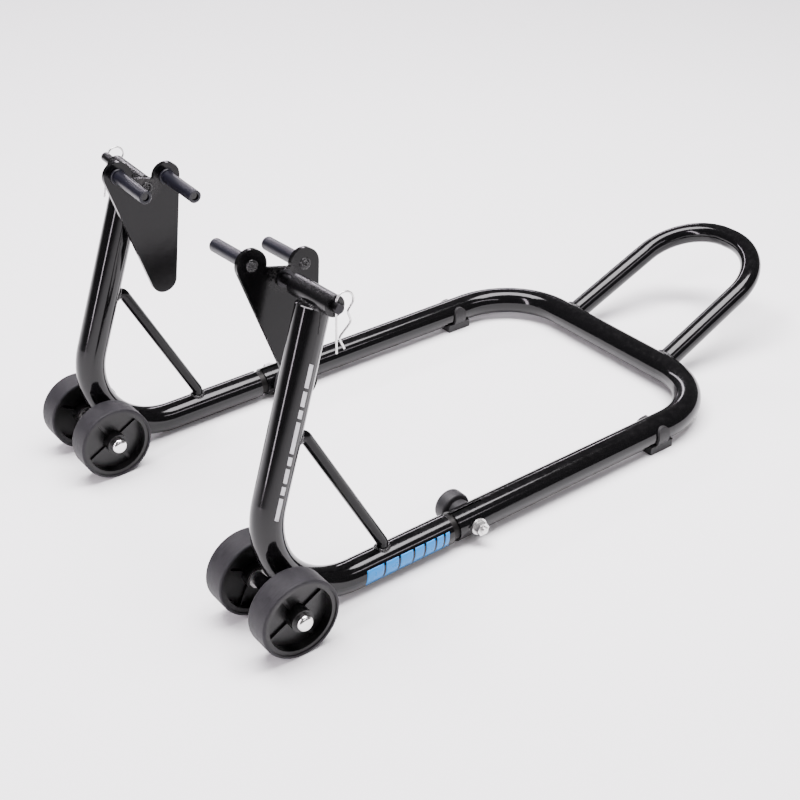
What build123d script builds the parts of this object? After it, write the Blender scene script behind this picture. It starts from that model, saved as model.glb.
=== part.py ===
"""Rear paddock stand for a motorcycle: two wheeled side arms, a demountable rear frame with a push
handle, and a swivelling two-pin lifting bracket on top of each arm. Millimetres, +Z up, floor at Z = 0.
+X points from the wheels to the handle, and the stand's left side is at -Y."""
from build123d import *
from math import atan2, cos, degrees, radians, sin, tan
import os

os.makedirs("parts", exist_ok=True)

# --- driving dimensions -------------------------------------------------------------------------
SIDES = {"left": -1, "right": 1}
OVERALL_LENGTH = 853.4

TUBE_D, TUBE_WALL = 32.0, 2.0            # main frame tube
HANDLE_D, HANDLE_WALL = 25.0, 2.0        # push handle tube
TUBE_R = TUBE_D / 2

WHEEL_R, WHEEL_W = 41.0, 27.5
AXLE_R, BUSH_R = 5.0, 7.0

CORNER_Z = 16.75                         # where the rail and upright centrelines cross
CORNER_X = WHEEL_R - OVERALL_LENGTH / 2 - 35.5
CORNER_Y = 188.0
RAIL_RISE = radians(0.39)                # the rails climb slightly towards the handle
RAIL_TAPER = radians(0.63)               # and close in slightly
UPRIGHT_LEAN = radians(20.03)            # back from the vertical
UPRIGHT_TILT = radians(1.96)             # in towards the middle
FRONT_BEND_R = 88.0
REAR_BEND_R = 87.5
RAIL_LENGTH = 636.0

ARM_END, REAR_FRAME_START = 239.5, 247.5  # along the rail, from the corner
SPIGOT_START, SPIGOT_END = 200.0, 300.0
SPIGOT_CLEARANCE = 0.1
SLOT_LENGTH, SLOT_W = 38.0, 3.2

AXLE_X = CORNER_X + 35.5
AXLE_Y = 187.0                           # middle of a wheel pair
WHEEL_GAP = 25.1                         # from there to a wheel's near face
BUSH_HALF = 23.3
WASHER_T = 1.5
BOSS_LENGTH = 29.0
CAP_R, CAP_HEIGHT, CAP_DOME = 8.5, 7.0, 4.6
CAP_STANDS_OFF = 0.3
AXLE_HALF = 58.5

PIVOT_ALONG = 324.0                      # spindle axis, along the upright from the corner
SPINDLE_TILT = radians(3.0)              # the spindle's inner end is the lower one
SLEEVE_R, SLEEVE_BORE_R = 10.0, 5.1
SLEEVE_HALF = 31.25
SLEEVE_SINK = 1.8                        # how deep the sleeve sits in the arm's cap
ARM_CAP_T = 4.0
SPINDLE_R = 5.0
SPINDLE_LENGTH, CLIP_HOLE_AT = 90.0, 84.0  # along the spindle, from the plate's outer face
SWIVEL_WASHER_R, SWIVEL_WASHER_T = 8.6, 2.5

BRACE_R = 5.9
BRACE_ON_UPRIGHT, BRACE_ON_RAIL = 192.0, 162.0
BRACE_CRANK = 22.5                       # length of each cranked end, from the tube's centreline
BRACE_CRANK_R = 7.5

PLATE_T = 5.0
EAR_R, TAIL_R = 15.0, 14.5
FRONT_EAR, REAR_EAR = (-30.2, 20.3), (22.9, 6.4)   # pin centres from the spindle axis, in the plate's plane
TAIL = (8.95, -109.0)
VALLEY_DROP = 2.5                        # valley floor below the line through the ears
PIN_R, PIN_SLEEVE_R, PIN_SLEEVE_BORE_R = 4.0, 6.75, 4.0
PIN_LENGTH, PIN_SLEEVE_LENGTH = 58.0, 60.0

CLAMP_AT = 269.0                         # clamp bolt, along the rail
BOLT_R, BOLT_HOLE_R, NUT_BORE_R = 4.0, 4.2, 4.1
NUT_FLANGE_R, NUT_FLANGE_T, NUT_FLATS, NUT_HEIGHT = 8.9, 2.0, 13.0, 8.5
SADDLE_R, SADDLE_FACE = 13.0, 17.6
CLAMP_WASHER_R, CLAMP_WASHER_T = 9.0, 1.6
KNOB_R, KNOB_T, KNOB_EDGE_R = 17.6, 15.0, 2.5
STUD_IN_KNOB = 8.5

FOOT_AT, FOOT_LENGTH, FOOT_WALL = 531.0, 32.0, 2.8
FOOT_TAB_W, FOOT_TAB_RISE = 16.0, 11.0

HANDLE_SPACING, HANDLE_SPLAY = 162.5, radians(1.36)
HANDLE_RISE = radians(22.9)
HANDLE_BASE_DROP = 7.0
HANDLE_REACH = 216.6                     # from the cross tube to the loop's outermost centreline
HANDLE_BEND_R = 74.0

WIRE_R = 1.0
CLIP_TILT = {"left": radians(5.0), "right": radians(12.0)}
# from the spindle axis, down the straight leg, over the head and down the waved leg to its flared tip
CLIP_CORNERS = [(0, -43), (0, 12), (17.5, 12), (17.5, 1.5), (11.5, -6.5), (15.5, -16.5), (2.4, -29), (8, -40)]
CLIP_RADII = [8.4, 8.4, 5.5, 4, 5, 4]
FIT_GAP = 0.1                            # working gap between faces that slide or turn on each other
STOP_GAP = 0.2                           # gap left where a slide rests against its stop

# each plate's outer face, along the spindle axis from the middle of the sleeve
PLATE_AT = {
    "left": SLEEVE_HALF + STOP_GAP + WIRE_R - CLIP_HOLE_AT,          # pulled in until its clip meets the sleeve
    "right": -(SLEEVE_HALF + STOP_GAP + SWIVEL_WASHER_T + FIT_GAP),  # pushed out until its washer meets the sleeve
}


# --- points on the frame ------------------------------------------------------------------------
def rail_direction(side):
    return Vector(cos(RAIL_RISE) * cos(RAIL_TAPER), -side * sin(RAIL_TAPER), sin(RAIL_RISE)).normalized()


def upright_direction(side):
    return Vector(
        sin(UPRIGHT_LEAN) * cos(UPRIGHT_TILT), -side * sin(UPRIGHT_TILT), cos(UPRIGHT_LEAN) * cos(UPRIGHT_TILT)
    )


def corner(side):
    return Vector(CORNER_X, side * CORNER_Y, CORNER_Z)


def on_rail(side, along):
    return corner(side) + rail_direction(side) * along


def on_upright(side, along):
    return corner(side) + upright_direction(side) * along


def across(side, along, out):
    """A point beside the rail: out is measured square to the rail, away from the stand's middle."""
    outward = rail_direction(side).cross(Vector(0, 0, 1)).normalized() * -side
    return on_rail(side, along) + outward * out


def across_plane(side, along, out):
    """The plane at that point whose normal points away from the stand's middle."""
    outward = rail_direction(side).cross(Vector(0, 0, 1)).normalized() * -side
    return Plane(origin=across(side, along, out), x_dir=rail_direction(side), z_dir=outward)


def pivot_plane(side, out):
    """A plane square to the spindle; its normal and out point away from the stand's middle."""
    outward = Vector(0, side * cos(SPINDLE_TILT), sin(SPINDLE_TILT))
    return Plane(origin=on_upright(side, PIVOT_ALONG) + outward * out, x_dir=(1, 0, 0), z_dir=outward)


def side_plane(x, y, z, side):
    """A plane at a point whose normal points straight out of that side of the stand."""
    return Plane(origin=(x, y, z), x_dir=(1, 0, 0), z_dir=(0, side, 0))


def save(piece, name):
    piece.part.label = name
    export_step(piece.part, f"parts/{name}.step")


# --- frame tubes --------------------------------------------------------------------------------
def side_arm(side):
    """Bent tube: the front part of the rail, the front bend and the upright."""
    top = PIVOT_ALONG - SLEEVE_R + SLEEVE_SINK - ARM_CAP_T
    with BuildPart() as arm:
        with BuildLine() as route:
            FilletPolyline(on_rail(side, ARM_END), corner(side), on_upright(side, top), radius=FRONT_BEND_R)
        with BuildSketch(Plane(origin=route.line @ 0, z_dir=route.line % 0)):
            Circle(TUBE_R)
            Circle(TUBE_R - TUBE_WALL, mode=Mode.SUBTRACT)
        sweep(path=route.line)
        with Locations(side_plane(AXLE_X, side * AXLE_Y, WHEEL_R, side)):
            Cylinder(BUSH_R, 2 * BUSH_HALF, mode=Mode.SUBTRACT)
    return arm


def arm_cap(side):
    """Disc that closes the upright, grooved for the pivot sleeve."""
    top = PIVOT_ALONG - SLEEVE_R + SLEEVE_SINK
    with BuildPart() as cap:
        with BuildSketch(Plane(origin=on_upright(side, top - ARM_CAP_T), z_dir=upright_direction(side))):
            Circle(TUBE_R)
        extrude(amount=ARM_CAP_T)
        chamfer(cap.edges().group_by(Axis((0, 0, 0), upright_direction(side)))[-1], 0.8)
        with Locations(pivot_plane(side, 0)):
            Cylinder(SLEEVE_R, 2 * SLEEVE_HALF, mode=Mode.SUBTRACT)
    return cap


def pivot_sleeve(side):
    with BuildPart() as sleeve:
        with BuildSketch(pivot_plane(side, -SLEEVE_HALF)):
            Circle(SLEEVE_R)
            Circle(SLEEVE_BORE_R, mode=Mode.SUBTRACT)
        extrude(amount=2 * SLEEVE_HALF)
        chamfer(sleeve.edges().filter_by(GeomType.CIRCLE).group_by(SortBy.RADIUS)[-1], 0.6)
    return sleeve


def brace_rod(side):
    """Round rod with two cranked ends, from the upright down to the rail."""
    along_rail, along_upright = rail_direction(side), upright_direction(side)
    plane_normal = along_rail.cross(along_upright).normalized()
    off_upright = along_upright.cross(plane_normal).normalized()
    off_rail = plane_normal.cross(along_rail).normalized()
    head, foot = on_upright(side, BRACE_ON_UPRIGHT), on_rail(side, BRACE_ON_RAIL)
    start = TUBE_R - TUBE_WALL / 2
    with BuildPart() as brace:
        with BuildLine() as route:
            FilletPolyline(
                head + off_upright * start,
                head + off_upright * BRACE_CRANK,
                foot + off_rail * BRACE_CRANK,
                foot + off_rail * start,
                radius=BRACE_CRANK_R,
            )
        with BuildSketch(Plane(origin=route.line @ 0, z_dir=route.line % 0)):
            Circle(BRACE_R)
        sweep(path=route.line)
        for point, direction in ((head, along_upright), (foot, along_rail)):
            with Locations(Plane(origin=point, z_dir=direction)):
                Cylinder(TUBE_R, 6 * BRACE_R, mode=Mode.SUBTRACT)
    return brace


def spigot(side):
    """Inner tube that joins the side arm to the rear frame."""
    with BuildPart() as inner:
        with BuildSketch(Plane(origin=on_rail(side, SPIGOT_START), z_dir=rail_direction(side))):
            Circle(TUBE_R - TUBE_WALL - SPIGOT_CLEARANCE)
            Circle(TUBE_R - 2 * TUBE_WALL - SPIGOT_CLEARANCE, mode=Mode.SUBTRACT)
        extrude(amount=SPIGOT_END - SPIGOT_START)
        with Locations(across_plane(side, CLAMP_AT, 0)):
            Cylinder(BOLT_HOLE_R, 2 * TUBE_D, mode=Mode.SUBTRACT)
    return inner


def rear_frame():
    """U-shaped tube; its two open ends are slotted on top and drilled for the clamp bolts."""
    ends = [on_rail(side, REAR_FRAME_START) for side in SIDES.values()]
    bends = [on_rail(side, RAIL_LENGTH) for side in SIDES.values()]
    with BuildPart() as frame:
        with BuildLine() as route:
            FilletPolyline(ends[0], bends[0], bends[1], ends[1], radius=REAR_BEND_R)
        with BuildSketch(Plane(origin=route.line @ 0, z_dir=route.line % 0)):
            Circle(TUBE_R)
            Circle(TUBE_R - TUBE_WALL, mode=Mode.SUBTRACT)
        sweep(path=route.line)
        for side in SIDES.values():
            with Locations(across_plane(side, CLAMP_AT, 0)):
                Cylinder(BOLT_HOLE_R, 2 * TUBE_D, mode=Mode.SUBTRACT)
            with BuildSketch(Plane(origin=on_rail(side, REAR_FRAME_START), x_dir=rail_direction(side), z_dir=(0, 0, 1))):
                SlotOverall(2 * SLOT_LENGTH, SLOT_W)
            extrude(amount=TUBE_D, mode=Mode.SUBTRACT)
    return frame


def handle_loop():
    """Push handle: two converging legs and a round end, its feet coped to the rear cross tube."""
    cross_x, cross_z = on_rail(1, RAIL_LENGTH).X, on_rail(1, RAIL_LENGTH).Z
    base_half = HANDLE_SPACING / 2
    tip_half = base_half - HANDLE_REACH * tan(HANDLE_SPLAY)
    slope = Plane(
        origin=(cross_x, 0, cross_z - HANDLE_BASE_DROP),
        x_dir=(cos(HANDLE_RISE), 0, sin(HANDLE_RISE)),
        z_dir=(-sin(HANDLE_RISE), 0, cos(HANDLE_RISE)),
    )
    with BuildPart() as handle:
        with BuildLine(slope) as route:
            FilletPolyline(
                (0, base_half), (HANDLE_REACH, tip_half), (HANDLE_REACH, -tip_half), (0, -base_half),
                radius=HANDLE_BEND_R,
            )
        with BuildSketch(Plane(origin=route.line @ 0, z_dir=route.line % 0)):
            Circle(HANDLE_D / 2)
            Circle(HANDLE_D / 2 - HANDLE_WALL, mode=Mode.SUBTRACT)
        sweep(path=route.line)
        with BuildSketch(Plane.XZ.offset(-CORNER_Y)):
            with Locations((cross_x, cross_z)):
                Circle(TUBE_R)
            with Locations((cross_x - TUBE_D, cross_z)):
                Rectangle(2 * TUBE_D, 2 * TUBE_D)
        extrude(amount=2 * CORNER_Y, mode=Mode.SUBTRACT)
    return handle


def rear_foot(side):
    """Rubber saddle clipped under the rail: a flat pad with a rounded tab up each side."""
    axis_at = on_rail(side, FOOT_AT)
    outer_r = TUBE_R + FOOT_WALL
    with BuildPart() as foot:
        with BuildSketch(Plane(origin=on_rail(side, FOOT_AT - FOOT_LENGTH / 2), x_dir=(0, 1, 0), z_dir=rail_direction(side))):
            Circle(outer_r)
            with Locations((0, -outer_r)):
                Rectangle(2 * outer_r - 8, 2 * outer_r)
            Circle(TUBE_R, mode=Mode.SUBTRACT)
        extrude(amount=FOOT_LENGTH)
        with BuildSketch(Plane(origin=(axis_at.X, axis_at.Y, 0), x_dir=(1, 0, 0), z_dir=(0, -1, 0))):
            with Locations((0, axis_at.Z / 4)):
                Rectangle(2 * FOOT_LENGTH, axis_at.Z / 2)
            with Locations((0, (axis_at.Z + FOOT_TAB_RISE) / 2)):
                RectangleRounded(FOOT_TAB_W, axis_at.Z + FOOT_TAB_RISE, FOOT_TAB_W / 2 - 0.5)
        extrude(amount=TUBE_D, both=True, mode=Mode.INTERSECT)
    return foot


# --- wheels -------------------------------------------------------------------------------------
def axle_bush(side):
    with BuildPart() as bush:
        with BuildSketch(side_plane(AXLE_X, side * (AXLE_Y - BUSH_HALF), WHEEL_R, side)):
            Circle(BUSH_R)
            Circle(AXLE_R, mode=Mode.SUBTRACT)
        extrude(amount=2 * BUSH_HALF)
    return bush


def axle(side):
    with BuildPart() as rod:
        with BuildSketch(side_plane(AXLE_X, side * (AXLE_Y - AXLE_HALF), WHEEL_R, side)):
            Circle(AXLE_R)
        extrude(amount=2 * AXLE_HALF)
        chamfer(rod.edges().filter_by(GeomType.CIRCLE), 0.5)
    return rod


def axle_washers(side):
    with BuildPart() as washers:
        for way in (-1, 1):
            with BuildSketch(side_plane(AXLE_X, side * AXLE_Y + way * BUSH_HALF, WHEEL_R, way)):
                Circle(BUSH_R + 2.5)
                Circle(AXLE_R, mode=Mode.SUBTRACT)
            extrude(amount=WASHER_T)
    return washers


def axle_caps(side):
    """Domed push-on caps, one on each end of the axle."""
    base = WHEEL_GAP + BOSS_LENGTH + CAP_STANDS_OFF
    with BuildPart() as caps:
        for way in (-1, 1):
            with BuildSketch(side_plane(AXLE_X, side * AXLE_Y + way * base, WHEEL_R, way)):
                Circle(CAP_R)
            extrude(amount=CAP_HEIGHT)
        rims = caps.edges().filter_by(GeomType.CIRCLE).group_by(Axis.Y)
        fillet(rims[0] + rims[-1], CAP_DOME)
        for way in (-1, 1):
            with BuildSketch(side_plane(AXLE_X, side * AXLE_Y + way * base, WHEEL_R, way)):
                Circle(AXLE_R)
            extrude(amount=AXLE_HALF - base, mode=Mode.SUBTRACT)
    return caps


def wheel_hub(side, way):
    """Dished plastic hub with a stepped rim, four ribs and a boss; way is the side of the arm it is on."""
    rim_r, rim_inner_r, boss_r = 38.0, 33.5, 11.5
    rim_w, web_t, rib_t, rib_drop = 25.0, 5.0, 3.6, 7.5
    near = side * AXLE_Y + way * WHEEL_GAP
    middle = near + way * WHEEL_W / 2
    with BuildPart() as hub:
        with BuildSketch(side_plane(AXLE_X, middle - way * rim_w / 2, WHEEL_R, way)):
            Circle(rim_r)
            Circle(rim_inner_r, mode=Mode.SUBTRACT)
        extrude(amount=rim_w)
        with BuildSketch(side_plane(AXLE_X, middle - way * web_t / 2, WHEEL_R, way)):
            Circle(rim_inner_r)
        extrude(amount=web_t)
        for start in (-rim_w / 2 + rib_drop, web_t / 2):
            with BuildSketch(side_plane(AXLE_X, middle + way * start, WHEEL_R, way)):
                for turn in (0, 90):
                    Rectangle(2 * rim_inner_r, rib_t, rotation=turn + 28)
                Circle(rim_inner_r, mode=Mode.INTERSECT)
            extrude(amount=rim_w / 2 - rib_drop - (web_t / 2 if start > 0 else 0))
        with BuildSketch(side_plane(AXLE_X, near, WHEEL_R, way)):
            Circle(boss_r)
        extrude(amount=BOSS_LENGTH)
        with Locations(side_plane(AXLE_X, near, WHEEL_R, way)):
            Cylinder(AXLE_R + FIT_GAP / 2, 4 * WHEEL_W, mode=Mode.SUBTRACT)
            Cylinder(
                rim_r, WHEEL_W, align=(Align.CENTER, Align.CENTER, Align.MAX), mode=Mode.SUBTRACT
            )
    return hub


def wheel_tyre(side, way):
    inner_r, shoulder = 38.0, 1.8
    near = side * AXLE_Y + way * WHEEL_GAP
    with BuildPart() as tyre:
        with BuildSketch(side_plane(AXLE_X, near, WHEEL_R, way)):
            Circle(WHEEL_R)
            Circle(inner_r, mode=Mode.SUBTRACT)
        extrude(amount=WHEEL_W)
        fillet(tyre.edges().filter_by(GeomType.CIRCLE).group_by(SortBy.RADIUS)[-1], shoulder)
    return tyre


# --- clamp joints -------------------------------------------------------------------------------
def clamp_nut(side):
    with BuildPart() as nut:
        with BuildSketch(across_plane(side, CLAMP_AT, TUBE_R + FIT_GAP)):
            Circle(NUT_FLANGE_R)
        extrude(amount=NUT_FLANGE_T)
        with BuildSketch(across_plane(side, CLAMP_AT, TUBE_R + FIT_GAP + NUT_FLANGE_T)):
            RegularPolygon(NUT_FLATS / 2, 6, major_radius=False)
        extrude(amount=NUT_HEIGHT - NUT_FLANGE_T)
        with Locations(across_plane(side, CLAMP_AT, TUBE_R)):
            Cylinder(NUT_BORE_R, 3 * NUT_HEIGHT, mode=Mode.SUBTRACT)
    return nut


def clamp_saddle(side):
    """Pad between the round tube and the flat washer, on the inside of the rail."""
    with BuildPart() as saddle:
        with BuildSketch(across_plane(side, CLAMP_AT, -SADDLE_FACE)):
            Circle(SADDLE_R)
            Circle(BOLT_HOLE_R, mode=Mode.SUBTRACT)
        extrude(amount=SADDLE_FACE - TUBE_R / 2)
        with Locations(Plane(origin=on_rail(side, CLAMP_AT), z_dir=rail_direction(side))):
            Cylinder(TUBE_R, 4 * SADDLE_R, mode=Mode.SUBTRACT)
    return saddle


def clamp_washer(side):
    with BuildPart() as washer:
        with BuildSketch(across_plane(side, CLAMP_AT, -SADDLE_FACE - FIT_GAP - CLAMP_WASHER_T)):
            Circle(CLAMP_WASHER_R)
            Circle(BOLT_R + FIT_GAP, mode=Mode.SUBTRACT)
        extrude(amount=CLAMP_WASHER_T)
    return washer


def knob_face():
    """Distance from the rail's centreline to the knob's near face."""
    return SADDLE_FACE + CLAMP_WASHER_T + 2 * FIT_GAP


def clamp_knob(side):
    """Round hand knob with softened edges, moulded round the head end of the stud."""
    back = knob_face()
    with BuildPart() as knob:
        with BuildSketch(across_plane(side, CLAMP_AT, -back - KNOB_T)):
            Circle(KNOB_R)
        extrude(amount=KNOB_T)
        fillet(knob.edges().filter_by(GeomType.CIRCLE), KNOB_EDGE_R)
        with BuildSketch(across_plane(side, CLAMP_AT, -back - STUD_IN_KNOB)):
            Circle(BOLT_R)
        extrude(amount=KNOB_T, mode=Mode.SUBTRACT)
    return knob


def clamp_bolt(side):
    """Stud moulded into the knob; it crosses the tube and stands out of the nut."""
    inner_end = knob_face() + STUD_IN_KNOB
    outer_end = TUBE_R + FIT_GAP + NUT_HEIGHT + 3.5
    with BuildPart() as bolt:
        with BuildSketch(across_plane(side, CLAMP_AT, -inner_end)):
            Circle(BOLT_R)
        extrude(amount=inner_end + outer_end)
        chamfer(bolt.edges().filter_by(GeomType.CIRCLE).sort_by_distance(across(side, CLAMP_AT, outer_end))[0], 0.8)
    return bolt


# --- lifting brackets ---------------------------------------------------------------------------
def bracket_plane(name, out):
    """A plane square to the spindle with its x towards the handle and its y up; out is from the plate's outer face."""
    side = SIDES[name]
    square = Vector(0, -cos(SPINDLE_TILT), -side * sin(SPINDLE_TILT))
    return Plane(origin=pivot_plane(side, PLATE_AT[name] + out).origin, x_dir=(1, 0, 0), z_dir=square)


def clip_plane(name):
    """The clip's plane: its origin is in the middle of the spindle's cross hole, and its y runs up the straight leg."""
    hole = bracket_plane(name, CLIP_HOLE_AT)
    tilt = CLIP_TILT[name]
    return Plane(origin=hole.origin, x_dir=hole.x_dir * cos(tilt) - hole.y_dir * sin(tilt), z_dir=hole.z_dir)


def lift_plate(name):
    side = SIDES[name]
    ear_line = Vector(*REAR_EAR) - Vector(*FRONT_EAR)
    tilt = degrees(atan2(ear_line.Y, ear_line.X))
    middle = (Vector(*REAR_EAR) + Vector(*FRONT_EAR)) / 2
    up = Vector(-ear_line.Y, ear_line.X).normalized()
    notch_h = 4 * EAR_R
    notch_at = middle + up * (notch_h / 2 - VALLEY_DROP)
    with BuildPart() as plate:
        with BuildSketch(bracket_plane(name, 0)) as outline:
            for centre, radius in ((FRONT_EAR, EAR_R), (REAR_EAR, EAR_R), (TAIL, TAIL_R)):
                with Locations(centre):
                    Circle(radius)
            make_hull()
            with Locations(notch_at):
                Rectangle(ear_line.length, notch_h, rotation=tilt, mode=Mode.SUBTRACT)
            with Locations(FRONT_EAR, REAR_EAR):
                Circle(EAR_R)
            valley = outline.vertices().sort_by_distance(bracket_plane(name, 0).from_local_coords(middle))[:2]
            fillet(valley, 4.0)
            Circle(SPINDLE_R, mode=Mode.SUBTRACT)
            with Locations(FRONT_EAR, REAR_EAR):
                Circle(PIN_R, mode=Mode.SUBTRACT)
        extrude(amount=side * PLATE_T)
    return plate


def spindle(name):
    """Rod welded into the plate, cross-drilled near its free end for the clip."""
    side = SIDES[name]
    recess = 3.0
    with BuildPart() as rod:
        with BuildSketch(bracket_plane(name, -PLATE_T + recess)):
            Circle(SPINDLE_R)
        extrude(amount=-side * (SPINDLE_LENGTH + PLATE_T - recess))
        end = bracket_plane(name, SPINDLE_LENGTH).origin
        chamfer(rod.edges().filter_by(GeomType.CIRCLE).sort_by_distance(end)[0], 0.8)
        with Locations(Plane(origin=clip_plane(name).origin, z_dir=clip_plane(name).y_dir)):
            Cylinder(WIRE_R + FIT_GAP, 4 * SPINDLE_R, mode=Mode.SUBTRACT)
    return rod


def lift_pins(name):
    side = SIDES[name]
    with BuildPart() as pins:
        with BuildSketch(bracket_plane(name, 0)):
            with Locations(FRONT_EAR, REAR_EAR):
                Circle(PIN_R)
        extrude(amount=side * (PLATE_T + PIN_LENGTH))
    return pins


def pin_sleeves(name):
    side = SIDES[name]
    with BuildPart() as sleeves:
        with BuildSketch(bracket_plane(name, -PLATE_T)):
            with Locations(FRONT_EAR, REAR_EAR):
                Circle(PIN_SLEEVE_R)
                Circle(PIN_SLEEVE_BORE_R, mode=Mode.SUBTRACT)
        extrude(amount=side * PIN_SLEEVE_LENGTH)
        chamfer(sleeves.edges().filter_by(GeomType.CIRCLE).group_by(SortBy.RADIUS)[-1], 0.5)
    return sleeves


def swivel_washer(name):
    side = SIDES[name]
    with BuildPart() as washer:
        with BuildSketch(bracket_plane(name, FIT_GAP)):
            Circle(SWIVEL_WASHER_R)
            Circle(SPINDLE_R + FIT_GAP, mode=Mode.SUBTRACT)
        extrude(amount=-side * SWIVEL_WASHER_T)
    return washer


def r_clip(name):
    """Spring clip: a straight leg through the spindle, a round head above it and a waved leg outside."""
    with BuildPart() as clip:
        with BuildLine(clip_plane(name)) as route:
            FilletPolyline(*CLIP_CORNERS, radius=CLIP_RADII)
        with BuildSketch(Plane(origin=route.line @ 0, z_dir=route.line % 0)):
            Circle(WIRE_R)
        sweep(path=route.line)
    return clip


for name, side in SIDES.items():
    save(side_arm(side), f"{name}_side_arm")
    save(arm_cap(side), f"{name}_arm_cap")
    save(pivot_sleeve(side), f"{name}_pivot_sleeve")
    save(brace_rod(side), f"{name}_brace_rod")
    save(spigot(side), f"{name}_joint_spigot")
    save(rear_foot(side), f"{name}_rear_foot")
    save(axle_bush(side), f"{name}_axle_bush")
    save(axle(side), f"{name}_axle")
    save(axle_washers(side), f"{name}_axle_washers")
    save(axle_caps(side), f"{name}_axle_caps")
    for place, way in (("outer", side), ("inner", -side)):
        save(wheel_hub(side, way), f"{name}_{place}_wheel_hub")
        save(wheel_tyre(side, way), f"{name}_{place}_wheel_tyre")
    save(clamp_nut(side), f"{name}_clamp_nut")
    save(clamp_saddle(side), f"{name}_clamp_saddle")
    save(clamp_washer(side), f"{name}_clamp_washer")
    save(clamp_knob(side), f"{name}_clamp_knob")
    save(clamp_bolt(side), f"{name}_clamp_bolt")
    save(lift_plate(name), f"{name}_lift_plate")
    save(spindle(name), f"{name}_spindle")
    save(lift_pins(name), f"{name}_lift_pins")
    save(pin_sleeves(name), f"{name}_pin_sleeves")
    save(swivel_washer(name), f"{name}_swivel_washer")
    save(r_clip(name), f"{name}_r_clip")

save(rear_frame(), "rear_u_frame")
save(handle_loop(), "handle_loop")
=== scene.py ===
"""Looks for the motorcycle rear paddock stand: gloss black enamel tube frame, plastic wheels,
zinc fasteners, weld beads and plain graphic stripes, on a pale studio floor."""

import math
import random

import bpy
from mathutils import Euler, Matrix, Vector


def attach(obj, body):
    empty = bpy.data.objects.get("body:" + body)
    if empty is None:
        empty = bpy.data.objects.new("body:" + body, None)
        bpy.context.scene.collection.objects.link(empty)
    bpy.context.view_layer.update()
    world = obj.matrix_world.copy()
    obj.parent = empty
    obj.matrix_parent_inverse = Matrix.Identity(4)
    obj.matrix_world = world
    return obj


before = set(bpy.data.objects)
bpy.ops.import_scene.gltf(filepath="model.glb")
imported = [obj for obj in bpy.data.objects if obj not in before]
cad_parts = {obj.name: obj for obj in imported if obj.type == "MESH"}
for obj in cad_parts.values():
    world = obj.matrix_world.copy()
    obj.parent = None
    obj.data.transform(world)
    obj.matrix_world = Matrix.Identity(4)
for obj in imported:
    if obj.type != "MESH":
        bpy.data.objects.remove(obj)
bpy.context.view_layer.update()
MM = 0.001
X_AXIS, Y_AXIS, Z_AXIS = Vector((1, 0, 0)), Vector((0, 1, 0)), Vector((0, 0, 1))

# ------------------------------------------------------------------ the stand's dimensions
SIDES = {"left": -1, "right": 1}
TUBE_R = 16 * MM
AXLE_X, AXLE_Y = -385.7 * MM, 187 * MM
WHEEL_R = 41 * MM

# each arm: the rail's and the upright's centrelines would meet at the corner, inside a round bend
CORNER = Vector((-421.2, 188.0, 16.75)) * MM
BEND_R = 88 * MM
RAIL_RISE, RAIL_TAPER = math.radians(0.39), math.radians(0.63)
LEAN, TILT = math.radians(20.03), math.radians(1.96)
PIVOT_ALONG = 324 * MM
CLAMP_ALONG = 269 * MM
RAIL_END = 636 * MM

# the brace rod, the pivot sleeve on the upright's cap and the bush that holds the axle
BRACE_R = 5.9 * MM
BRACE_ON_UPRIGHT, BRACE_ON_RAIL = 192 * MM, 162 * MM
SLEEVE_R, SLEEVE_SINK = 10 * MM, 1.8 * MM
SLEEVE_SEAT_LENGTH, SLEEVE_SEAT_WIDTH = 29.2 * MM, 14.4 * MM
BUSH_WELD_R = 7.5 * MM

# the handle's legs on the rear cross tube
HANDLE_R = 12.5 * MM
HANDLE_Y, HANDLE_DROP = 81.25 * MM, 7 * MM
HANDLE_RISE, HANDLE_SPLAY = math.radians(22.9), math.radians(1.36)

# the lifting brackets: each plate's outer face, measured from its pivot along the spindle
SPINDLE_TILT = math.radians(3.0)
PLATE_AT = {"left": -51.55 * MM, "right": -34.05 * MM}
PLATE_T = 5 * MM
PLUG_SINK = 3.4 * MM
EARS = {"front": (-30.2 * MM, 20.3 * MM), "rear": (22.9 * MM, 6.4 * MM)}

# the clamp bolt at each rail joint
BOLT_R, BOLT_PITCH = 4 * MM, 1.25 * MM
NUT_END = TUBE_R + 8.6 * MM
THREAD_GAP, THREAD_LENGTH = 0.3 * MM, 2.6 * MM


def mirrored(v, side):
    return Vector((v[0], v[1] * side, v[2]))


def rail_dir(side):
    return mirrored((math.cos(RAIL_RISE), -math.tan(RAIL_TAPER), math.sin(RAIL_RISE)), side).normalized()


def upright_dir(side):
    flat = math.cos(TILT)
    return mirrored((math.sin(LEAN) * flat, -math.sin(TILT), math.cos(LEAN) * flat), side).normalized()


def corner(side):
    return mirrored(CORNER, side)


def on_rail(side, along):
    return corner(side) + rail_dir(side) * along


def on_upright(side, along):
    return corner(side) + upright_dir(side) * along


def rail_outward(side):
    """Level and square to the rail, away from the middle of the stand."""
    return rail_dir(side).cross(Z_AXIS).normalized() * -side


def spindle_out(side):
    return mirrored((0, math.cos(SPINDLE_TILT), math.sin(SPINDLE_TILT)), side)


def bracket_point(name, out, x=0.0, up=0.0):
    """A point on a bracket: out is from the plate's outer face, x and up are from the spindle's axis."""
    side = SIDES[name]
    rise = mirrored((0, -math.sin(SPINDLE_TILT), math.cos(SPINDLE_TILT)), side)
    on_axis = on_upright(side, PIVOT_ALONG) + spindle_out(side) * (PLATE_AT[name] + out)
    return on_axis + Vector((x, 0, 0)) + rise * up


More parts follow.
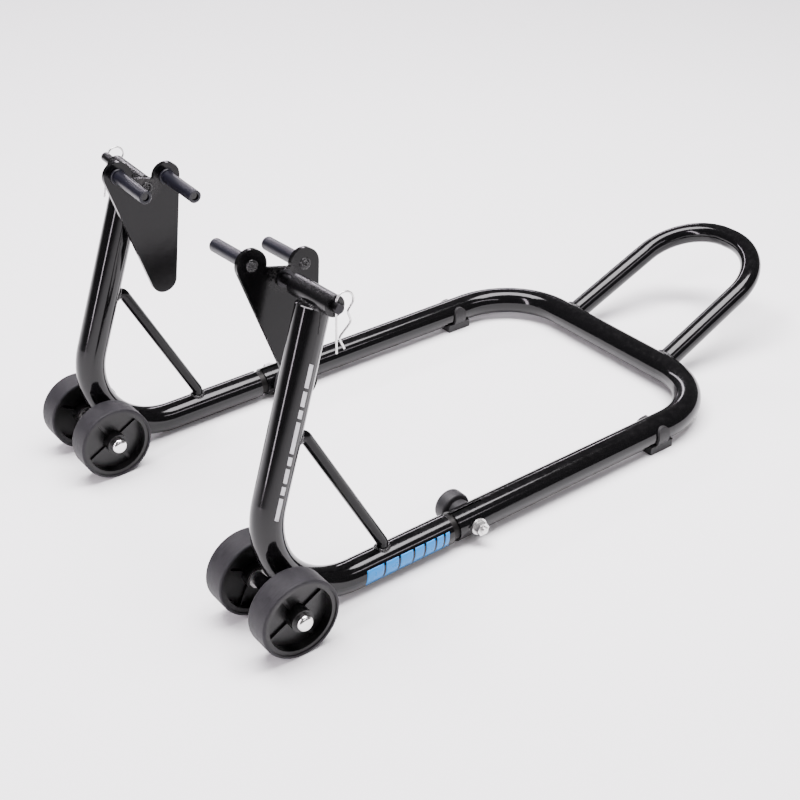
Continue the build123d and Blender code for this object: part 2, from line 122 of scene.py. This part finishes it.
# ------------------------------------------------------------------ material nodes
class Nodes:
    """Small wrapper that builds a principled material from object coordinates."""

    def __init__(self, name):
        self.material = bpy.data.materials.new(name)
        self.material.use_nodes = True
        self.tree = self.material.node_tree
        self.tree.nodes.clear()
        self.out = self.add("ShaderNodeOutputMaterial")
        self.shader = self.add("ShaderNodeBsdfPrincipled")
        self.link(self.shader.outputs[0], self.out.inputs[0])
        self.coords = self.add("ShaderNodeTexCoord").outputs["Object"]

    def add(self, kind, **values):
        node = self.tree.nodes.new(kind)
        for key, value in values.items():
            setattr(node, key, value)
        return node

    def link(self, a, b):
        self.tree.links.new(a, b)

    def feed(self, socket, value):
        """Put a plain value in a socket, or link a node's output to it."""
        if isinstance(value, (int, float, tuple)):
            socket.default_value = value
        else:
            self.link(value, socket)

    def set(self, **values):
        for key, value in values.items():
            self.shader.inputs[key.replace("_", " ")].default_value = value

    def noise(self, scale, detail=4.0, roughness=0.55, stretch=None):
        node = self.add("ShaderNodeTexNoise")
        node.inputs["Scale"].default_value = scale
        node.inputs["Detail"].default_value = detail
        node.inputs["Roughness"].default_value = roughness
        self.link(self.stretched(stretch) if stretch else self.coords, node.inputs["Vector"])
        return node.outputs["Fac"]

    def stretched(self, scale):
        node = self.add("ShaderNodeMapping")
        node.inputs["Scale"].default_value = scale
        self.link(self.coords, node.inputs["Vector"])
        return node.outputs["Vector"]

    def ramp(self, value, stops):
        node = self.add("ShaderNodeValToRGB")
        while len(node.color_ramp.elements) < len(stops):
            node.color_ramp.elements.new(0.5)
        for element, (position, colour) in zip(node.color_ramp.elements, stops):
            element.position = position
            element.color = colour if isinstance(colour, tuple) else (colour, colour, colour, 1)
        self.link(value, node.inputs["Fac"])
        return node.outputs["Color"]

    def math(self, operation, a, b=None, clamp=False):
        node = self.add("ShaderNodeMath", operation=operation, use_clamp=clamp)
        self.feed(node.inputs[0], a)
        if b is not None:
            self.feed(node.inputs[1], b)
        return node.outputs[0]

    def scaled(self, value, factor):
        return self.math("MULTIPLY", value, factor)

    def plus(self, a, b):
        return self.math("ADD", a, b)

    def mix(self, factor, a, b):
        node = self.add("ShaderNodeMix", data_type="RGBA")
        for socket, value in ((node.inputs["Factor"], factor), (node.inputs[6], a), (node.inputs[7], b)):
            self.feed(socket, value)
        return node.outputs[2]

    def separate(self, vector):
        node = self.add("ShaderNodeSeparateXYZ")
        self.link(vector, node.inputs[0])
        return node.outputs

    def bump(self, height, strength, distance, onto=None):
        node = self.add("ShaderNodeBump")
        node.inputs["Strength"].default_value = strength
        node.inputs["Distance"].default_value = distance
        self.link(height, node.inputs["Height"])
        if onto is not None:
            self.link(onto, node.inputs["Normal"])
        return node.outputs["Normal"]

    def near(self, points, radius):
        """1 at any of the points, fading to 0 at the radius."""
        total = None
        for point in points:
            node = self.add("ShaderNodeVectorMath", operation="DISTANCE")
            self.link(self.coords, node.inputs[0])
            node.inputs[1].default_value = point
            share = self.math("DIVIDE", node.outputs["Value"], radius)
            closeness = self.math("SUBTRACT", 1.0, share, clamp=True)
            total = closeness if total is None else self.math("MAXIMUM", total, closeness)
        return total

    def upward(self):
        geometry = self.add("ShaderNodeNewGeometry")
        return self.separate(geometry.outputs["Normal"])[2]

    def colour(self, value):
        self.link(value, self.shader.inputs["Base Color"])

    def roughness(self, value):
        self.link(value, self.shader.inputs["Roughness"])

    def normal(self, value):
        self.link(value, self.shader.inputs["Normal"])


def grey(value, tint=(1, 1, 1)):
    return (value * tint[0], value * tint[1], value * tint[2], 1)


# ------------------------------------------------------------------ materials
def enamel_material(name, ior=1.36, soft=0.06, worn_points=(), wear_radius=0.02):
    """Gloss black enamel: orange peel, faint polish swirls, a little dust on top, rubbed at worn points."""
    n = Nodes(name)
    n.set(IOR=ior)
    cloud = n.noise(22, 3)
    facing_up = n.ramp(n.upward(), [(0.55, 0.0), (1.0, 1.0)])
    patches = n.ramp(n.noise(160, 6, 0.7), [(0.45, 0.0), (0.75, 1.0)])
    dust = n.math("MULTIPLY", facing_up, patches)
    base = n.mix(n.scaled(dust, 0.35), grey(0.0022, (1.0, 0.97, 1.1)), grey(0.016, (1.0, 0.97, 1.0)))
    scratches = n.ramp(n.noise(90, 2, 0.5, stretch=(1.0, 14.0, 14.0)), [(0.62, 0.0), (0.70, 1.0)])
    rough = n.plus(n.scaled(cloud, 0.08), soft)
    rough = n.plus(rough, n.scaled(dust, 0.10))
    rough = n.plus(rough, n.scaled(scratches, 0.05))
    if worn_points:
        chips = n.ramp(n.noise(420, 5, 0.7), [(0.42, 0.0), (0.6, 1.0)])
        rub = n.math("MULTIPLY", n.near(worn_points, wear_radius), chips)
        base = n.mix(n.scaled(rub, 0.5), base, grey(0.10, (1.0, 0.98, 0.96)))
        rough = n.plus(rough, n.scaled(rub, 0.25))
    n.colour(base)
    n.roughness(rough)
    peel = n.bump(n.noise(780, 2, 0.4), 0.09, 0.12 * MM)
    n.normal(n.bump(n.noise(60, 2, 0.4), 0.10, 0.7 * MM, peel))
    return n.material


def bead_material(name):
    """Enamel over weld metal: the same black, with an uneven sheen over a fine grain."""
    n = Nodes(name)
    n.set(IOR=1.5)
    n.colour(n.ramp(n.noise(500, 3), [(0.35, grey(0.003)), (0.75, grey(0.012, (1.0, 0.98, 1.04)))]))
    n.roughness(n.plus(n.scaled(n.noise(350, 3), 0.25), 0.14))
    n.normal(n.bump(n.noise(900, 3), 0.25, 0.4 * MM))
    return n.material


def metal_material(name, base, rough, spread, stain, grain=(1, 1, 1), tint=(1.0, 0.99, 0.97), peel=0.15):
    """Bare or plated metal with a directional grain and faint staining."""
    n = Nodes(name)
    n.set(Metallic=1.0)
    streak = n.noise(260, 5, 0.6, stretch=grain)
    blotch = n.ramp(n.noise(70, 4, 0.6), [(0.4, 0.0), (0.75, 1.0)])
    dull = n.mix(n.scaled(blotch, stain), grey(base, tint), grey(base * 0.55, tint))
    n.colour(n.mix(n.scaled(streak, 0.35), dull, grey(base * 0.75, tint)))
    n.roughness(n.plus(n.scaled(streak, spread), rough))
    n.normal(n.bump(n.noise(1100, 3, 0.6, stretch=grain), peel, 0.2 * MM))
    return n.material


def plastic_material(name, base, rough, tint, grain, depth, strength, dust):
    """Moulded plastic or rubber: fine pebble grain, uneven sheen and settled dust."""
    n = Nodes(name)
    n.set(IOR=1.38)
    cloud = n.noise(35, 4, 0.6)
    speck = n.ramp(n.noise(420, 5, 0.7), [(0.5, 0.0), (0.72, 1.0)])
    body = n.mix(n.ramp(cloud, [(0.3, 0.0), (0.75, 1.0)]), grey(base, tint), grey(base * 1.5, tint))
    n.colour(n.mix(n.scaled(speck, dust), body, grey(base * 2.6 + 0.01, tint)))
    n.roughness(n.plus(n.scaled(n.noise(110, 4), 0.16), rough - 0.06))
    fine = n.bump(n.noise(grain, 2, 0.5), strength, depth)
    n.normal(n.bump(cloud, 0.06, 0.6 * MM, fine))
    return n.material


def tyre_material(name):
    """Hard rubber tread: dark purple-grey, scuffed round its rolling face, with fine mould lines."""
    n = Nodes(name)
    n.set(IOR=1.36)
    x, y, z = n.separate(n.coords)
    forward = n.math("POWER", n.math("SUBTRACT", x, AXLE_X), 2.0)
    upward = n.math("POWER", n.math("SUBTRACT", z, WHEEL_R), 2.0)
    from_axle = n.math("SQRT", n.plus(forward, upward))
    rolling = n.ramp(from_axle, [(WHEEL_R - 2.5 * MM, 0.0), (WHEEL_R - 0.5 * MM, 1.0)])
    scuff = n.ramp(n.noise(140, 6, 0.7, stretch=(1, 3, 1)), [(0.4, 0.0), (0.7, 1.0)])
    base = n.mix(scuff, grey(0.006, (1.0, 0.90, 1.20)), grey(0.013, (1.0, 0.93, 1.14)))
    worn = n.math("MULTIPLY", rolling, n.scaled(scuff, 0.4))
    n.colour(n.mix(worn, base, grey(0.032, (1.0, 0.95, 1.05))))
    n.roughness(n.plus(n.scaled(scuff, 0.18), 0.55))
    rings = n.math("SINE", n.scaled(from_axle, 9000.0))
    fine = n.bump(rings, 0.06, 0.1 * MM)
    n.normal(n.bump(n.noise(900, 4, 0.6), 0.35, 0.35 * MM, fine))
    return n.material


def decal_material(name, colour, worn):
    """Thin printed vinyl: slightly mottled ink with tiny rubbed specks."""
    n = Nodes(name)
    n.set(IOR=1.38)
    specks = n.ramp(n.noise(620, 5, 0.75), [(0.60, 0.0), (0.68, 1.0)])
    mottled = n.mix(n.noise(90, 4), colour, tuple(c * 0.82 for c in colour[:3]) + (1,))
    n.colour(n.mix(n.scaled(specks, worn), mottled, grey(0.02)))
    n.roughness(n.plus(n.scaled(n.noise(200, 3), 0.15), 0.22))
    n.normal(n.bump(n.noise(800, 2), 0.1, 0.2 * MM))
    return n.material


def floor_material(name):
    """Almost white, with the faintest unevenness."""
    n = Nodes(name)
    n.set(Roughness=0.7, Specular_IOR_Level=0.2)
    n.colour(n.ramp(n.noise(1.2, 2), [(0.3, grey(0.955)), (0.7, grey(0.97))]))
    return n.material


def plate_top(side):
    """Close to where the plate hangs from its spindle."""
    return on_upright(side, PIVOT_ALONG) + mirrored((0, -45 * MM, 0), side)


plate_tops = [plate_top(side) for side in SIDES.values()]

ENAMEL = enamel_material("enamel_black")
PLATE_ENAMEL = enamel_material("enamel_black_plate", ior=1.27, soft=0.10, worn_points=plate_tops)
ROD_ENAMEL = enamel_material("enamel_black_rod", ior=1.26, soft=0.16)
SLEEVE_ENAMEL = enamel_material("enamel_black_sleeve", soft=0.20)
BEAD = bead_material("enamel_black_weld")
SPIGOT = metal_material(
    "spigot_dark_steel", base=0.022, rough=0.32, spread=0.25, stain=0.6,
    grain=(0.2, 3, 3), tint=(1.0, 0.97, 0.95),
)
ZINC = metal_material("zinc_plate", base=0.72, rough=0.20, spread=0.22, stain=0.35)
CAP = metal_material(
    "bright_cap", base=0.80, rough=0.14, spread=0.12, stain=0.2,
    tint=(1.0, 0.99, 0.98), peel=0.08,
)
WIRE = metal_material(
    "spring_wire", base=0.72, rough=0.18, spread=0.2, stain=0.3,
    tint=(1.0, 0.99, 0.98), peel=0.1,
)
SPINDLE = metal_material(
    "spindle_black_oxide", base=0.03, rough=0.22, spread=0.2, stain=0.4,
    grain=(3, 0.3, 3), tint=(1.0, 0.98, 1.05), peel=0.1,
)
HUB = plastic_material(
    "wheel_black_plastic", base=0.0022, rough=0.32, tint=(1.0, 0.99, 1.02),
    grain=1400, depth=0.2 * MM, strength=0.25, dust=0.25,
)
TYRE = tyre_material("wheel_rubber")
KNOB = plastic_material(
    "knob_plastic", base=0.014, rough=0.5, tint=(1.0, 0.97, 1.05),
    grain=1300, depth=0.3 * MM, strength=0.4, dust=0.3,
)
FOOT = plastic_material(
    "foot_rubber", base=0.010, rough=0.55, tint=(1.0, 0.98, 1.02),
    grain=1200, depth=0.3 * MM, strength=0.4, dust=0.3,
)
PIN = plastic_material(
    "pin_blue_black", base=0.0035, rough=0.33, tint=(1.0, 1.0, 1.8),
    grain=900, depth=0.12 * MM, strength=0.2, dust=0.15,
)
BLUE = decal_material("decal_blue", (0.0, 0.22, 0.62, 1), worn=0.30)
WHITE = decal_material("decal_white", (0.62, 0.62, 0.64, 1), worn=0.45)

LOOKS = {
    "side_arm": ENAMEL, "arm_cap": ENAMEL, "pivot_sleeve": SLEEVE_ENAMEL, "brace_rod": ROD_ENAMEL,
    "joint_spigot": SPIGOT, "rear_foot": FOOT, "axle_bush": ENAMEL, "axle": ZINC,
    "axle_washers": ZINC, "axle_caps": CAP, "clamp_nut": ZINC, "clamp_saddle": KNOB,
    "clamp_washer": ZINC, "clamp_knob": KNOB, "clamp_bolt": ZINC, "lift_plate": PLATE_ENAMEL,
    "spindle": SPINDLE, "lift_pins": ENAMEL, "pin_sleeves": PIN, "swivel_washer": SPINDLE,
    "r_clip": WIRE, "wheel_hub": HUB, "wheel_tyre": TYRE, "u_frame": ENAMEL, "handle_loop": ENAMEL,
}


def look_of(node):
    return LOOKS[max((key for key in LOOKS if node.endswith(key)), key=len)]


for node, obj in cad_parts.items():
    obj.data.materials.clear()
    obj.data.materials.append(look_of(node))


# ------------------------------------------------------------------ shapes of the new pieces
def ray(u, v, angle):
    """The direction at an angle from u towards v."""
    return u * math.cos(angle) + v * math.sin(angle)


def square_to(axis):
    """Two directions square to an axis and to each other."""
    u = axis.orthogonal().normalized()
    return u, axis.cross(u)


def turn_at(i, steps):
    return 2 * math.pi * i / steps


def mesh_piece(name, verts, faces, material, body, smooth=True):
    mesh = bpy.data.meshes.new(name)
    mesh.from_pydata([tuple(v) for v in verts], [], faces)
    mesh.validate()
    if smooth:
        mesh.shade_smooth()
    obj = bpy.data.objects.new(name, mesh)
    bpy.context.scene.collection.objects.link(obj)
    mesh.materials.append(material)
    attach(obj, body)
    return obj


def skin(rows, sides, closed):
    """Faces of a tube made of rows of points: a closed one runs round to its first row."""
    faces = []
    for i in range(rows if closed else rows - 1):
        j = (i + 1) % rows
        for k in range(sides):
            m = (k + 1) % sides
            faces.append((i * sides + k, i * sides + m, j * sides + m, j * sides + k))
    return faces


def end_faces(rows, sides):
    return [tuple(range(sides))[::-1], tuple(range((rows - 1) * sides, rows * sides))]


def loop_tube(points, radii, sides=10):
    """Vertices and faces of a closed tube through the points, with a radius at each."""
    count = len(points)
    verts = []
    centre = sum(points, Vector()) / count
    for i, point in enumerate(points):
        along = (points[(i + 1) % count] - points[i - 1]).normalized()
        out = point - centre
        out = (out - along * out.dot(along)).normalized()
        other = along.cross(out)
        for k in range(sides):
            verts.append(point + ray(out, other, turn_at(k, sides)) * radii[i])
    return verts, skin(count, sides, closed=True)


def branch_curve(base, along, radius, main_point, main_dir, main_radius, steps):
    """Where a round branch leaves the surface of a round tube: one point for each angle round the branch."""
    along = along.normalized()
    u, v = square_to(along)
    points = []
    for i in range(steps):
        start = base + ray(u, v, turn_at(i, steps)) * radius
        rel = start - main_point
        p = rel - main_dir * rel.dot(main_dir)
        d = along - main_dir * along.dot(main_dir)
        qa, qb, qc = d.dot(d), 2 * p.dot(d), p.dot(p) - main_radius ** 2
        root = math.sqrt(max(qb * qb - 4 * qa * qc, 0))
        points.append(start + along * ((-qb + root) / (2 * qa)))
    return points


def circle_points(centre, normal, radius, steps=120):
    normal = normal.normalized()
    u, v = square_to(normal)
    return [centre + ray(u, v, turn_at(i, steps)) * radius for i in range(steps)]


def weld_bead(name, points, size, body, seed, ripple=1.9 * MM):
    """A bead with overlapping ripples, along a closed curve."""
    rng = random.Random(seed)
    count = len(points)
    length = sum((points[i] - points[i - 1]).length for i in range(count))
    waves = max(8, round(length / ripple))
    phase = rng.random()
    jitter = [rng.uniform(-0.12, 0.12) for _ in range(waves)]
    radii = []
    for i in range(count):
        place = i / count * waves + phase
        fall = (1 - place % 1) ** 2
        radii.append(size * (1 + jitter[int(place) % waves] * 0.6 + 0.16 * fall - 0.06))
    verts, faces = loop_tube(points, radii)
    bead = mesh_piece(name, verts, faces, BEAD, body)
    return bead


def curl_weld(name, centre, normal, radius, body, seed):
    """A plug weld that closes a round end: a low dome made by a ripple that curls inwards."""
    rng = random.Random(seed)
    normal = normal.normalized()
    v = normal.cross(X_AXIS)
    turns, steps, sides = 2.1, 130, 10
    start = rng.uniform(0, 2 * math.pi)
    points, radii = [], []
    for i in range(steps):
        t = i / (steps - 1)
        angle = start + 2 * math.pi * turns * t
        reach = radius * (0.12 + 0.72 * (1 - t)) * (1 + 0.05 * math.sin(9 * angle + seed))
        height = (0.35 + 0.9 * t) * MM
        points.append(centre + ray(X_AXIS, v, angle) * reach + normal * height)
        radii.append(radius * (0.30 - 0.06 * t) * (1 + 0.10 * math.sin(28 * t * math.pi)))
    verts = []
    for i, point in enumerate(points):
        along = (points[min(i + 1, steps - 1)] - points[max(i - 1, 0)]).normalized()
        across = along.cross(normal).normalized()
        for k in range(sides):
            verts.append(point + ray(normal, across, turn_at(k, sides)) * radii[i])
    faces = skin(steps, sides, closed=False) + end_faces(steps, sides)
    piece = mesh_piece(name, verts, faces, BEAD, body)
    return piece


def turned_ring(name, centre, normal, profile, material, body, steps=64):
    """A ring turned from a closed profile of (radius, height) points, in millimetres."""
    normal = normal.normalized()
    v = normal.cross(X_AXIS)
    verts = []
    for i in range(steps):
        outward = ray(X_AXIS, v, turn_at(i, steps))
        for radius, height in profile:
            verts.append(centre + outward * radius * MM + normal * height * MM)
    piece = mesh_piece(name, verts, skin(steps, len(profile), closed=True), material, body)
    return piece


def thread(name, start, along, radius, pitch, length, body):
    """Thread crests wound along the bare end of a bolt, running out at both ends."""
    along = along.normalized()
    v = along.cross(Z_AXIS)
    root, crest, half_width, run_out = -0.25, 0.08, 0.42, 12
    turns = length / pitch
    steps = int(turns * 36)
    verts = []
    for i in range(steps + 1):
        outward = ray(Z_AXIS, v, 2 * math.pi * turns * i / steps)
        middle = start + along * (length * i / steps)
        fade = min(1.0, i / run_out, (steps - i) / run_out)
        for lift, shift in ((root, -half_width), (crest * fade, 0.0), (root, half_width)):
            verts.append(middle + outward * (radius + lift * MM) + along * shift * MM)
    faces = skin(steps + 1, 3, closed=False) + end_faces(steps + 1, 3)
    piece = mesh_piece(name, verts, faces, ZINC, body, smooth=False)
    return piece


# ------------------------------------------------------------------ welds on the frame
def brace_welds(name, side):
    """One bead where the brace rod meets the upright, and one where it meets the rail."""
    rail, upright = rail_dir(side), upright_dir(side)
    normal = rail.cross(upright).normalized()
    from_upright = upright.cross(normal).normalized()
    from_rail = normal.cross(rail).normalized()
    bead_r, size, steps = BRACE_R + 0.5 * MM, 2.1 * MM, 180
    start, on_axis = on_upright(side, BRACE_ON_UPRIGHT), on_upright(side, 100 * MM)
    top = branch_curve(start, from_upright, bead_r, on_axis, upright, TUBE_R, steps)
    weld_bead(f"{name}_brace_top_weld", top, size, "frame", 11 + side)
    start, on_axis = on_rail(side, BRACE_ON_RAIL), on_rail(side, 100 * MM)
    foot = branch_curve(start, from_rail, bead_r, on_axis, rail, TUBE_R, steps)
    weld_bead(f"{name}_brace_foot_weld", foot, size, "frame", 21 + side)


def sleeve_weld(name, side):
    """The pivot sleeve is welded all round its seat on the upright's cap: a rounded oblong."""
    out, upright = spindle_out(side), upright_dir(side)
    across = out.cross(upright).normalized()
    along = upright.cross(across).normalized()
    seat = on_upright(side, PIVOT_ALONG - SLEEVE_R + SLEEVE_SINK)
    squareness, lift, steps = 0.45, 0.4 * MM, 220
    half_long, half_wide = SLEEVE_SEAT_LENGTH / 2, SLEEVE_SEAT_WIDTH / 2
    ring = []
    for i in range(steps):
        c, d = math.cos(turn_at(i, steps)), math.sin(turn_at(i, steps))
        reach = along * half_long * math.copysign(abs(c) ** squareness, c)
        spread = across * half_wide * math.copysign(abs(d) ** squareness, d)
        ring.append(seat + reach + spread + upright * lift)
    weld_bead(f"{name}_sleeve_weld", ring, 2.5 * MM, "frame", 31 + side, 2.3 * MM)


def handle_weld(name, side):
    """A bead round the handle's leg, where it leaves the rear cross tube."""
    cross_tube = on_rail(1, RAIL_END)
    leg = Vector((math.cos(HANDLE_RISE), -side * math.tan(HANDLE_SPLAY), math.sin(HANDLE_RISE)))
    foot = Vector((cross_tube.x, side * HANDLE_Y, cross_tube.z - HANDLE_DROP))
    middle = Vector((cross_tube.x, 0, cross_tube.z))
    points = branch_curve(foot, leg, HANDLE_R + 0.4 * MM, middle, Y_AXIS, TUBE_R, 220)
    weld_bead(f"{name}_handle_weld", points, 2.4 * MM, "frame", 41 + side, 2.4 * MM)


def bend_distance(side, point):
    """Distance from a point to the centreline of the arm's front bend."""
    rail, upright = rail_dir(side), upright_dir(side)
    half = rail.angle(upright) / 2
    centre = corner(side) + (rail + upright).normalized() * (BEND_R / math.sin(half))
    normal = rail.cross(upright).normalized()
    rel = point - centre
    height = rel.dot(normal)
    return math.hypot((rel - normal * height).length - BEND_R, height)


def out_of_bend(side, start, way):
    """Where a line along Y from inside the bend's tube comes out, found by halving."""
    near, far = 2 * MM, 22 * MM
    for _ in range(24):
        middle = (near + far) / 2
        inside = bend_distance(side, start + Vector((0, way * middle, 0))) < TUBE_R
        near, far = (middle, far) if inside else (near, middle)
    return start + Vector((0, way * near, 0))


def bush_welds(name, side):
    """A bead round the axle's bush on each side, where it leaves the bend."""
    steps = 140
    axle = Vector((AXLE_X, side * AXLE_Y, WHEEL_R))
    for place, way in (("outer", side), ("inner", -side)):
        rims = [axle + ray(X_AXIS, Z_AXIS, turn_at(i, steps)) * BUSH_WELD_R for i in range(steps)]
        ring = [out_of_bend(side, rim, way) for rim in rims]
        weld_bead(f"{name}_{place}_bush_weld", ring, 1.9 * MM, "frame", 51 + side + way * 3, 2.0 * MM)


for weld in (brace_welds, sleeve_weld, handle_weld, bush_welds):
    for name, side in SIDES.items():
        weld(name, side)

# ------------------------------------------------------------------ welds and collars on the brackets
COLLAR_PROFILE = [(6.7, 0.0), (8.3, 0.0), (8.4, 0.9), (8.1, 1.7), (7.5, 2.3), (6.8, 2.4)]


def pin_details(name, side, pin, ear):
    """The stud's plug weld on the plate's outer face, and the moulded collar at the sleeve's foot."""
    body, out = f"{name}_lift_bracket", spindle_out(side)
    stud_end = bracket_point(name, 0, *ear)
    seed = {"front": 61, "rear": 66}[pin] + side
    curl_weld(f"{name}_{pin}_stud_weld", stud_end, out, 4.6 * MM, body, seed)
    ring = circle_points(stud_end, out, 4.9 * MM)
    weld_bead(f"{name}_{pin}_stud_ring", ring, 0.9 * MM, body, 71 + side, 1.6 * MM)
    foot = bracket_point(name, -PLATE_T, *ear)
    turned_ring(f"{name}_{pin}_pin_collar", foot, -out, COLLAR_PROFILE, PIN, body)


def spindle_welds(name, side):
    """The spindle's plug weld, sunk in the plate, and the bead round it on the inner face."""
    body, out = f"{name}_lift_bracket", spindle_out(side)
    curl_weld(f"{name}_spindle_plug_weld", bracket_point(name, -PLUG_SINK), -out, 4.4 * MM, body, 81 + side)
    ring = circle_points(bracket_point(name, -PLATE_T), out, 5.2 * MM)
    weld_bead(f"{name}_spindle_ring_weld", ring, 1.1 * MM, body, 91 + side, 1.8 * MM)


for name, side in SIDES.items():
    for pin, ear in EARS.items():
        pin_details(name, side, pin, ear)
    spindle_welds(name, side)

# ------------------------------------------------------------------ bolt threads
for name, side in SIDES.items():
    outward = rail_outward(side)
    tip_start = on_rail(side, CLAMP_ALONG) + outward * (NUT_END + THREAD_GAP)
    thread(f"{name}_bolt_thread", tip_start, outward, BOLT_R, BOLT_PITCH, THREAD_LENGTH, f"{name}_knob")

# ------------------------------------------------------------------ plain graphics, with no lettering
VINYL_FLOAT, VINYL_TOP = 0.03 * MM, 0.12 * MM


def vinyl_patch(base, along, outward, rise, corners, first):
    """Vertices and faces of one thin piece on a tube, from four corners (distance along, angle round)."""
    (a0, b0), (a1, b1), (a2, b2), (a3, b3) = corners
    cells = 10
    row, layer = cells + 1, (cells + 1) ** 2
    verts, faces = [], []
    for level in (VINYL_FLOAT, VINYL_TOP):
        for j in range(cells + 1):
            q = j / cells
            for i in range(cells + 1):
                t = i / cells
                low = (a0 + (a1 - a0) * t, b0 + (b1 - b0) * t)
                top = (a3 + (a2 - a3) * t, b3 + (b2 - b3) * t)
                dist = low[0] + (top[0] - low[0]) * q
                turn = math.radians(low[1] + (top[1] - low[1]) * q)
                verts.append(base + along * dist * MM + ray(outward, rise, turn) * (TUBE_R + level))
    for j in range(cells):
        for i in range(cells):
            k = first + j * row + i
            faces.append((k + layer, k + layer + 1, k + layer + row + 1, k + layer + row))
            faces.append((k, k + row, k + row + 1, k + 1))
    edge = [first + i for i in range(row)]
    edge += [first + j * row + cells for j in range(1, row)]
    edge += [first + cells * row + i for i in range(cells - 1, -1, -1)]
    edge += [first + j * row for j in range(cells - 1, 0, -1)]
    for i, k in enumerate(edge):
        m = edge[(i + 1) % len(edge)]
        faces.append((k, m, m + layer, k + layer))
    return verts, faces


def tube_graphic(name, base, along, outward, rise, patches, material):
    """Thin vinyl pieces wrapped on a tube: angles run from outward towards rise."""
    verts, faces = [], []
    for corners in patches:
        new_verts, new_faces = vinyl_patch(base, along, outward, rise, corners, len(verts))
        verts += new_verts
        faces += new_faces
    piece = mesh_piece(name, verts, faces, material, "frame")
    return piece


def slanted_run(start, lengths, gap, slant, low, high):
    """Patches in a row, each leaning forward by slant, and the place where the next would start."""
    patches, at = [], start
    for length in lengths:
        patches.append(((at, low), (at + length, low), (at + length + slant, high), (at + slant, high)))
        at += length + gap
    return patches, at


def left_arm_graphics():
    """Slanted bars with a line under them on the rail, and a broken line up the upright."""
    left = SIDES["left"]
    rail, upright = rail_dir(left), upright_dir(left)
    rail_out = rail_outward(left)
    rail_up = rail_out.cross(rail).normalized()
    upright_out = (Y_AXIS * left - upright * upright.dot(Y_AXIS * left)).normalized()
    upright_front = upright_out.cross(upright).normalized()
    bars, bars_end = slanted_run(130.0, (20, 15, 15, 11, 11, 8, 5), gap=2.6, slant=3.4, low=-22, high=30)
    line = ((130.5, -30), (bars_end, -30), (bars_end, -26.5), (130.5, -26.5))
    dashes, _ = slanted_run(116.0, (22, 8, 14, 8, 30, 8, 14, 22), gap=3.4, slant=1.2, low=-9, high=7)
    base = corner(left)
    tube_graphic("rail_graphic_bars", base, rail, rail_out, rail_up, bars, BLUE)
    tube_graphic("rail_graphic_line", base, rail, rail_out, rail_up, [line], BLUE)
    tube_graphic("upright_graphic_dashes", base, upright, upright_out, upright_front, dashes, WHITE)


left_arm_graphics()


# ------------------------------------------------------------------ studio
def area_light(name, location, target, size, power, colour):
    data = bpy.data.lights.new(name, "AREA")
    data.shape = "RECTANGLE"
    data.size, data.size_y = size
    data.energy = power
    data.color = colour
    light = bpy.data.objects.new(name, data)
    light.location = location
    light.rotation_euler = (Vector(target) - Vector(location)).to_track_quat("-Z", "Y").to_euler()
    bpy.context.scene.collection.objects.link(light)


def place_camera(location, turn, lens):
    data = bpy.data.cameras.new("camera")
    data.lens = lens
    data.sensor_width = 36
    data.clip_start, data.clip_end = 0.02, 50
    camera = bpy.data.objects.new("camera", data)
    camera.location = location
    camera.rotation_euler = Euler([math.radians(a) for a in turn])
    bpy.context.scene.collection.objects.link(camera)
    bpy.context.scene.camera = camera


def lay_floor(half_width):
    w = half_width
    mesh = bpy.data.meshes.new("floor")
    mesh.from_pydata([(-w, -w, 0), (w, -w, 0), (w, w, 0), (-w, w, 0)], [], [(0, 1, 2, 3)])
    floor = bpy.data.objects.new("floor", mesh)
    bpy.context.scene.collection.objects.link(floor)
    mesh.materials.append(floor_material("floor_white"))


def light_world(strength):
    world = bpy.data.worlds.new("studio")
    bpy.context.scene.world = world
    world.use_nodes = True
    background = world.node_tree.nodes["Background"]
    background.inputs[0].default_value = (1, 1, 1, 1)
    background.inputs[1].default_value = strength


place_camera((-0.88026, -1.12175, 0.87853), turn=(58.8289, 1.79096, -35.7921), lens=64.46)
lay_floor(8)
area_light("key_top", (0.1, 0.1, 2.6), (0, 0, 0), (3.0, 1.3), 300, (1.0, 0.965, 1.0))
area_light("side_strip", (-2.2, -0.3, 1.1), (0, 0, 0.1), (0.22, 2.2), 42, (1.0, 0.90, 1.0))
area_light("back_strip", (0.6, 2.6, 1.3), (0, 0, 0.1), (3.0, 0.22), 46, (0.98, 0.90, 1.0))
area_light("front_strip", (0.3, -2.6, 2.1), (0, 0, 0.1), (2.8, 0.2), 30, (1.0, 0.93, 1.0))
light_world(0.14)
